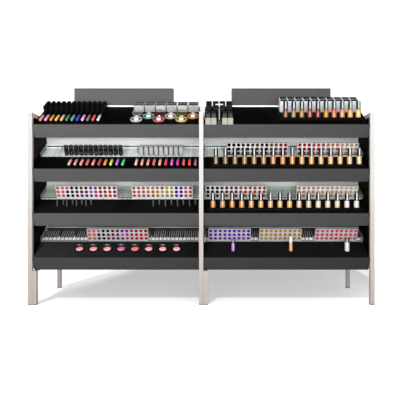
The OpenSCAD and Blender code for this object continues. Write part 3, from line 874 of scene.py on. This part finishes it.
def make_card_stand():
    """A slim smoked stem with a light strip down its front as a painted highlight, on a wedge foot, with a
    pale bar for a card.
    """
    low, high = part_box("card_stand_1")
    piece = Piece("card_stand_1")
    place = stand(low, high)
    total = high.z - low.z
    radius, bar_height = 0.012, 0.007
    stem = turned(radius, (0.0015, 0.0195), (0.0004, 0.021), (0.0022, 0.03), (0.0022, total - 0.034),
                  (0.0002, total - 0.022), (0.0012, total - 0.0195))
    # Painted highlight: a light strip down the front of the stem.
    painted_highlight_strip = block(0.005, 0.002, total - 0.052, 0.0009, 0.0006)
    post = lathe((0.0036, total - 0.02), (0.004, total - 0.019), (0.004, total - 0.0064),
                 (0.0034, total - 0.006))
    bar = block(high.x - low.x, 2 * radius - 0.006, bar_height, 0.003, 0.0014)
    piece.add(wedge(2 * radius, 2 * radius, 0.02, 0.003), place, SMOKED, "#1b1b19")
    piece.add(stem, place, SMOKED, "#2c2d24")
    piece.add(painted_highlight_strip, place @ shift(0, -radius + 0.0018, 0.026), SATIN, "#b9bba6")
    piece.add(post, place, CHROME)
    piece.add(bar, place @ shift(0, 0, total - bar_height), SATIN, "#f7f7f5")
    piece.make("card_stand_1", "stand_clear", "card_stand_1")


def make_cartons():
    """White folding cartons in two rows, whose dark grey tops have a black tuck flap along the outer edge."""
    piece = Piece("cartons_1")
    boxes = solids("cartons_1", deck(1))
    near = min(low.y for low, high in boxes)
    for low, high in boxes:
        width, depth, height = high - low
        outward = -1 if low.y < near + depth / 2 else 1
        place = deck(1) @ stand(low, high)
        piece.add(block(width, depth, height - 0.0006, 0.001, 0.0006), place, WHITE_CARD)
        top = block(width - 0.004, depth - 0.003, 0.0009, 0.001, 0.0003)
        piece.add(top, place @ shift(0, 0, height - 0.0012), STICK, "#4a4a4a")
        flap = block(width - 0.004, depth / 2, 0.0012, 0.001, 0.0003)
        piece.add(flap, place @ shift(0, outward * (depth / 4 - 0.001), height - 0.0012), TUBE_BLACK)
        window = block(width - 0.01, 0.0006, height - 0.016, 0.0002, 0.0002)
        piece.add(window, place @ shift(0, -depth / 2 + 0.0002, 0.008), WHITE_CARD)
    piece.make("cartons_1", "carton_white", "cartons_1")


DARK_TUBES = 12


def make_tray_tubes():
    """Tubes that stand in the second deck's tray: dark ones, then silver ones with thin black blocks in the
    gaps between.
    """
    dark, silver = Piece("tubes_2_dark"), Piece("tubes_2_silver")
    for i, (place, size) in enumerate(stands("tubes_2", deck(2))):
        radius, total = size.x / 2, size.z
        foot = turned(radius, (0.0012, 0), (0.0004, 0.0006), (0.0004, 0.004), (0.0008, 0.0046))
        body = turned(radius, (0.0008, 0.0042), (0, 0.005), (0, total - 0.012), (0.0004, total - 0.0114))
        top = turned(radius, (0.0006, total - 0.0116), (0.0001, total - 0.0108), (0.0001, total - 0.006),
                     (0.002, total - 0.002), (0.005, total - 0.0004), (0.009, total))
        if i < DARK_TUBES:
            dark.add(foot, place, CHROME)
            dark.add(body, place, CHROME_BLACK)
            dark.add(top, place, SATIN_BLACK)
        else:
            silver.add(foot, place, CHROME)
            silver.add(body, place, SATIN, "#dcdcdc")
            silver.add(top, place, SATIN, "#bdbdbd")
        if i > DARK_TUBES:
            # Thin black blocks darken the gaps between the silver tubes.
            card = block(0.003, 0.018, total - 0.004, 0.0006, 0.0004)
            silver.add(card, place @ shift(-radius - 0.002, 0.004, 0), SATIN_BLACK)
    dark.make("tray_left_2", "tube_black", "tubes_2")
    silver.make("tray_left_2", "tube_black")


# From a rack's top to its first row, from row to row, and how strong the tints are on each deck.
LIPSTICK_TOP = 0.0155
LIPSTICK_PITCH = 0.0262
STICK_SHARES = {2: 0.5, 3: 0.66, 4: 0.66}


def make_lipsticks(number, side, racks, rack_tint, foot_tint=None):
    """Frosted blocks with three rows of lipsticks, whose coloured ends face the customer."""
    node = f"lipsticks_{side}_{number}"
    piece = Piece(node)
    draw = Random(node)
    cup = lathe((0.0116, 0), (0.0116, 0.0036), (0.0114, 0.004), (0.0109, 0.004), (0.0108, 0.0034), steps=20)
    for (low, high), columns in zip(solids(node, deck(number)), racks):
        width, depth, height = high - low
        middle = (low.x + high.x) / 2
        rack = block(width, depth - 0.0016, height - 0.005, 0.0012, 0.0008)
        piece.add(rack, deck(number) @ stand(low, high) @ shift(0, 0.0008, 0), FROSTED, rack_tint, 0.85)
        if foot_tint:
            foot = block(width - 0.001, 0.0012, 0.006, 0.0004, 0.0003)
            piece.add(foot, deck(number) @ shift(middle, low.y + 0.0007, low.z + 0.008), SATIN, foot_tint)
        pitch = width / len(columns)
        for column, colours in enumerate(columns):
            x = middle + (column - (len(columns) - 1) / 2) * pitch
            for row, tint in enumerate(colours):
                z = high.z - LIPSTICK_TOP - LIPSTICK_PITCH * row
                spot = deck(number) @ shift(x, low.y + 0.005, z) @ LYING
                end = 0.0047 + draw.uniform(-0.0003, 0.0002)
                stick = lathe((0.0105, 0.001), (0.0105, end - 0.001), (0.01, end - 0.0003),
                              (0.0084, end), steps=20)
                piece.add(cup, spot, FROSTED, "#e4e3e6", 0.8)
                piece.add(stick, spot, STICK, tint, STICK_SHARES[number])
    piece.make(f"tray_{side}_{number}", "lipstick_colours", node)


def make_brushes():
    """Slim brushes lying on the third deck, bristles up the slope, near ends turned to the middle."""
    piece = Piece("brushes_3")
    for low, high in solids("brushes_3", deck(3)):
        radius = (high.z - low.z) / 2
        across, along = high.x - low.x - 2 * radius, high.y - low.y
        turn = math.atan2(across, along)
        total = along / math.cos(turn) - 2 * radius * math.tan(turn)
        far_end = shift(low.x + radius, high.y - radius * math.sin(turn), (low.z + high.z) / 2)
        place = deck(3) @ far_end @ Matrix.Rotation(turn, 4, "Z") @ LYING
        bristles = spun(radius, (0.5, 0), (0.85, 0.004), (1, 0.012), (0.8, 0.018), steps=16)
        ferrule = spun(radius, (0.8, 0.0175), (0.86, 0.018), (0.7, 0.032), (0.66, 0.0325), steps=16)
        handle = spun(radius, (0.66, 0.032), (0.86, 0.04), (0.9, total * 0.6), (0.7, total - 0.006),
                      (0.5, total - 0.001), (0.3, total), steps=16)
        piece.add(bristles, place, SATIN, "#3b3a38")
        piece.add(ferrule, place, SATIN, "#7d7d7c")
        piece.add(handle, place, SATIN, "#6f6f6d")
    piece.make("brushes_3", "brush_grey", "brushes_3")


# The colour of each tube, the colour of its cap and the height of the join between them as a share.
SINGLE_TUBES = (("#d690ee", "#141416", 0.62), ("#f2b069", "#f6f6f4", 0.54), ("#f4f4f2", "#0d0d0f", 0.68))


def make_single_tubes():
    """Three different tubes, each upright on a foot that follows the lowest deck's slope."""
    piece = Piece("tubes_4")
    for (place, size), (tint, top, share) in zip(stands("tubes_4"), SINGLE_TUBES):
        radius, total = size.x / 2, size.z
        foot = 2 * radius * math.tan(TILT) + 0.001
        join = total * share
        body = spun(radius, (0.9, foot - 0.001), (1, foot), (1, join - 0.002), (0.86, join))
        neck = spun(radius, (0.7, join - 0.001), (0.72, join + 0.002))
        cap = spun(radius, (0.8, join + 0.0015), (0.88, join + 0.0025), (0.88, total - 0.003),
                   (0.8, total - 0.001), (0.6, total))
        piece.add(wedge(2 * radius, 2 * radius, foot, radius * 0.9), place, GLOSS, tint)
        piece.add(body, place, GLOSS, tint)
        piece.add(neck, place, CHROME)
        piece.add(cap, place, GLOSS, top)
    piece.make("tubes_4", "tube_colours", "tubes_4")


# ---- colours of the rows ----

SALMON, LILAC, ORANGE, APRICOT, PEACH = "#f09a86", "#dfa6e6", "#ee9a3c", "#f3bd7c", "#f4c9a2"
GREEN, TEAL, BLUE, MAUVE, RED, PEARL = "#5e8a70", "#5fb0ac", "#4a4cc0", "#8d8086", "#e85b58", "#e9e4de"
TIPS_1 = (SALMON, LILAC, ORANGE, APRICOT, PEACH, GREEN, TEAL, BLUE, "#eeb0e2", MAUVE, RED, PEARL)
ROSE, SCARLET = "#f3a09c", "#ee4048"
TIPS_2 = ("#f5b79a", ROSE, "#f4aaa0", "#f0625c", ROSE, SCARLET, "#f2a04a", "#f2e24a", "#c07af0", "#5ccf94",
          "#f0c8a0", "#f3a8a0", ROSE, "#f06a66", "#f3bca2", "#f04a4c", "#d868c8", "#d83f9c", "#f05a50",
          "#f05a50", "#b0758a")
GLASS_1 = ("#8a5226", "#a07448", "#a8782c", "#9c3d20", "#8f2c18", "#c8821c", "#e86a3c", "#f08c5c",
           "#f5b05c", "#f8c878")
GLASS_2 = ("#7a5f3c", "#8a6038", "#9c7838", "#a87c34", "#b0842c", "#c08a44", "#dc8a40", "#e48c3c", "#ee9c44",
           "#f4b050", "#f4b456", "#f2b864", "#f4c47c", "#f4c684", "#f5cc90", "#f6d8a8")
GLASS_3 = ("#d09250", "#d49450", "#cc8c40", "#e09c50", "#e8a858", "#e8a860", "#ecb068", "#eeb470", "#f0b868",
           "#ecc89c", "#eccca4", "#f2e0c4", "#f2dcb8", "#f2dcbc", "#f6ecdc", "#f8eee0")


def columns_of(*runs):
    """Columns of three colours each, from (how many, high, middle, low) runs."""
    return [(high, middle, low) for count, high, middle, low in runs for _ in range(count)]


BLACKISH, MAROON, PLUM, PURPLE, WINE = "#1c0606", "#5c0626", "#640a4c", "#7c0c74", "#8c0a10"
CORAL, OLIVE, INDIGO, BROWN = "#c65a56", "#a08a10", "#4c0c90", "#8a4a10"
RACK_A = columns_of(
    (2, CORAL, CORAL, CORAL), (1, CORAL, BLACKISH, BLACKISH), (1, BLACKISH, BLACKISH, BLACKISH),
    (1, BLACKISH, PLUM, MAROON), (1, MAROON, MAROON, MAROON), (1, MAROON, PLUM, PLUM),
    (1, PURPLE, "#a050a8", PURPLE), (1, PURPLE, "#9a2a90", "#b02038"), (1, WINE, WINE, WINE),
    (3, WINE, "#a00a12", "#a81018"),
)
RACK_B = columns_of(
    (3, "#b04a54", "#b4504e", "#b04848"), (1, "#b87050", "#a86a50", "#a05a48"),
    (1, "#b86428", "#a86010", BROWN), (1, "#a85c0c", "#b0701c", "#a0640c"),
    (1, BROWN, "#c08a3c", "#90a018"), (1, OLIVE, OLIVE, "#90901c"), (1, "#94940c", "#a88a10", "#a8481c"),
    (2, INDIGO, INDIGO, INDIGO), (1, "#b0445c", "#b04450", "#b05058"), (1, "#983438", "#a04040", "#a84448"),
)
RACK_C = columns_of(
    (3, "#0c0404", "#1c0a06", "#2c1408"), (1, "#3c1008", "#3c1408", "#4c1c08"),
    (1, "#241404", "#2c2008", "#5c380c"), (1, "#3c3008", "#3c2c0c", "#6c440c"),
    (1, "#5c3010", "#5c2c10", "#7c1414"), (2, "#4c0808", "#500c0c", "#6c1010"),
    (2, "#80440c", "#6c300c", "#8c4c10"), (2, "#980c0c", "#90100c", "#a01810"),
)
RACK_D = columns_of(
    (3, "#b01810", "#a81c14", "#a82418"), (3, "#c04030", "#b84838", "#b84c3c"),
    (3, "#c87850", "#c07c58", "#c08058"), (4, "#cfa280", "#cca080", "#c89c80"),
)
RACK_E = columns_of(
    (3, "#241008", "#301408", "#38180c"), (4, "#5c2410", "#602810", "#682c14"),
    (6, "#94401c", "#984420", "#9c4c24"),
)
RACK_F = columns_of(
    (4, "#b08058", "#ac7c58", "#a87850"), (5, "#c0946c", "#bc906c", "#b88c64"),
    (4, "#c8a484", "#c4a080", "#c09c7c"),
)
RACK_G = columns_of(
    (4, "#5c1498", "#5c0c98", "#4c0884"), (2, "#541aa0", "#5c14b0", "#5410a0"),
    (2, "#64209c", "#680c84", "#581090"), (1, "#4c1080", "#40086c", "#4c107c"),
)
RACK_H = columns_of(
    (3, "#a8782c", "#988428", "#98842c"), (3, "#b07c34", "#a86c2c", "#a86c30"),
    (3, "#a07c2c", "#9c7024", "#98742c"),
)
RACK_I = columns_of(
    (3, "#b84c5c", "#bc3c4c", "#b83c44"), (3, "#b84448", "#c03840", "#b83034"),
    (3, "#c04c54", "#c04850", "#bc4c50"),
)

# ---- finishes of the CAD's own nodes ----

# Each material, the width of its softened edges and the nodes that get it.
FINISHES = (
    (CREAM, 0.0015, "posts_front", "posts_rear"),
    (CREAM, 0.001, "deck_legs", "rails_bottom"),
    (CREAM, 0.0008, "spine_uprights"),
    (RAIL, 0.001, "rails_top"),
    (POST_CAP, 0.0008, "post_caps"),
    (GLIDE, 0.0008, "foot_glides"),
    (PANEL_BLACK, 0.0008, "side_panels", "centre_panels", "tester_risers"),
    (SPINE, 0.0005, "spine_panels_front", "spine_panels_rear"),
    (WHITE_TRIM, 0.0005, "panel_trims"),
    (WHITE_TRIM, 0.0008, "spine_cap"),
    (ZINC, 0.0005, "header_sockets", "bracket_screws"),
    (HEADER, 0.0015, "header_left", "header_right"),
    (DECK, 0.0006, "decks_front", "decks_rear"),
    (FASCIA, 0.0012, "fascias_front", "fascias_rear"),
    (STEEL_BLACK, 0.0006, "brackets_front", "brackets_rear"),
    (ACRYLIC_REAR, 0, "trays_rear"),
    (ACRYLIC[2], 0, "tray_left_2", "tray_right_2"),
    (ACRYLIC[3], 0, "tray_left_3", "tray_right_3"),
    (ACRYLIC[4], 0, "tray_left_4", "tray_right_4"),
)


def finish_node(name, material, width):
    """Gives a CAD node its material, and rounds its sharp edges by width."""
    node = frame["nodes"][name]
    node.data.materials.clear()
    node.data.materials.append(material)
    if width:
        weld = node.modifiers.new("weld", "WELD")
        weld.merge_threshold = 1e-5
        bevel = node.modifiers.new("bevel", "BEVEL")
        bevel.width = width
        bevel.segments = 2
        bevel.limit_method = "ANGLE"
        bevel.angle_limit = math.radians(40)
        bevel.use_clamp_overlap = True


# ---- floor ----

# The light that the camera sees in the floor, around the shadow and from its front to its back.
FLOOR_LIGHT = "#959595"
SHADOW_LIGHT = ((0.0, FLOOR_LIGHT), (0.21, "#868686"), (0.46, "#616161"), (0.77, "#383838"), (1.0, "#000000"))


def make_floor():
    """A wide white floor, just under the feet.

    For the camera alone it also gives light, in full around the shadow and ever less towards the back of
    the shadow. So it meets the white world without a horizon.
    """
    look = Look("floor", Roughness=0.9, Specular_IOR_Level=0.0)
    look.paint(shade("#f8f8f8"), 0.004, 2, 60)
    rays = look.node("LightPath").outputs
    depth, aside = look.along((0, 1, 0)), look.along((1, -0.25, 0))
    under = look.ramp(look.remap(depth, -0.2, 1.0, 0, 1), *SHADOW_LIGHT)
    around = look.remap(depth, 1.5, 1.9, 0, 1)
    for value, start, end in ((depth, -0.25, -0.4), (aside, -0.85, -1.0), (aside, 1.08, 1.2)):
        around = look.either(around, look.remap(value, start, end, 0, 1))
    look.join(look.mix(around, under, shade(FLOOR_LIGHT)), "Emission Color")
    look.join(rays["Is Camera Ray"], "Emission Strength")
    dark = look.node("BsdfDiffuse", {"Color": shade("#2a2a2a")}).outputs[0]
    white = look.shader.outputs[0]
    seen = look.node("MixShader", {0: rays["Is Glossy Ray"], 1: white, 2: dark}).outputs[0]
    look.tree.links.new(seen, look.tree.nodes["Material Output"].inputs["Surface"])
    size, low = 60.0, cad_box[0].z - 0.0005
    corners = [(-size, -size, low), (size, -size, low), (size, size, low), (-size, size, low)]
    mesh = bpy.data.meshes.new("floor")
    mesh.from_pydata(corners, [], [(0, 1, 2, 3)])
    mesh.materials.append(look.material)
    floor = bpy.data.objects.new("floor", mesh)
    link(floor)


# ---- the whole scene ----

for material, width, *names in FINISHES:
    for name in names:
        finish_node(name, material, width)

make_stock_tubes()
make_testers(1, TIPS_1, 0.56, short=0.008)
make_boxes()
make_top_compacts()
make_top_lids()
make_refills()
make_flacons()
make_card_stand()
make_cartons()
make_bottles(1, GLASS_1)
make_tray_tubes()
make_testers(2, TIPS_2, 0.7)
make_bottles(2, GLASS_2)
make_bottles(3, GLASS_3)
make_lipsticks(2, "right", (RACK_C, RACK_D), "#d6d9dd", "#0a0a0c")
make_lipsticks(3, "left", (RACK_A, RACK_B), "#d6d9d9")
make_lipsticks(3, "right", (RACK_E, RACK_F), "#cfd1d1")
make_lipsticks(4, "left", (RACK_A,), "#b2b2b6")
make_lipsticks(4, "right", (RACK_G, RACK_H, RACK_I), "#acacb0")
make_brushes()
make_low_compacts()
make_low_lids()
make_single_tubes()
make_floor()
